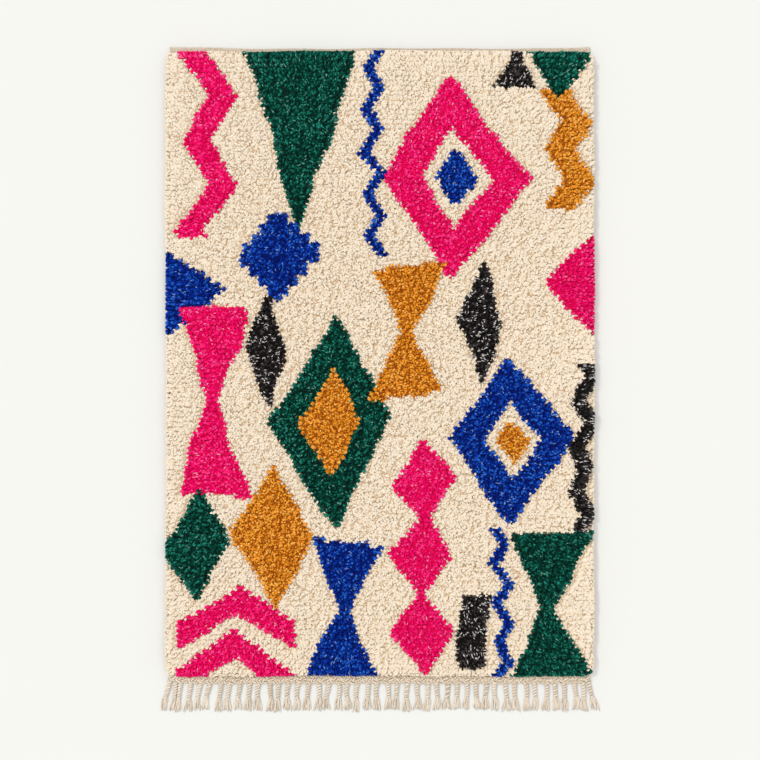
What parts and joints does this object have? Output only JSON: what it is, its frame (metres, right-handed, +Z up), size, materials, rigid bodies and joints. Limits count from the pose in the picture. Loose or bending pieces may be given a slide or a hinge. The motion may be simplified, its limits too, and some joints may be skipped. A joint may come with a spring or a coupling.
{
  "type": "boujaad rug",
  "caption": "Flat-laid hand-knotted wool rug with deep pile, a woven heading at the top end and a heading with twisted fringe at the bottom end.",
  "frame": {"origin": "middle of the rug's box on the floor it lies on", "axes": "+X across the rug's width, +Y along its length towards the plain heading, with the fringe at -Y, +Z up out of the pile"},
  "size_m": [1.2424, 1.8884, 0.0262],
  "materials": {
    "pile_wool": "deep matte knotted wool pile, cream with dyed motifs",
    "heading_wool": "matte flat-woven wool, undyed",
    "fringe_wool": "matte twisted wool cords, undyed"
  },
  "bodies": {
    "root": {"pile_field": "pile_wool", "heading_top": "heading_wool", "fringe_bottom": "fringe_wool"}
  },
  "joints": []
}
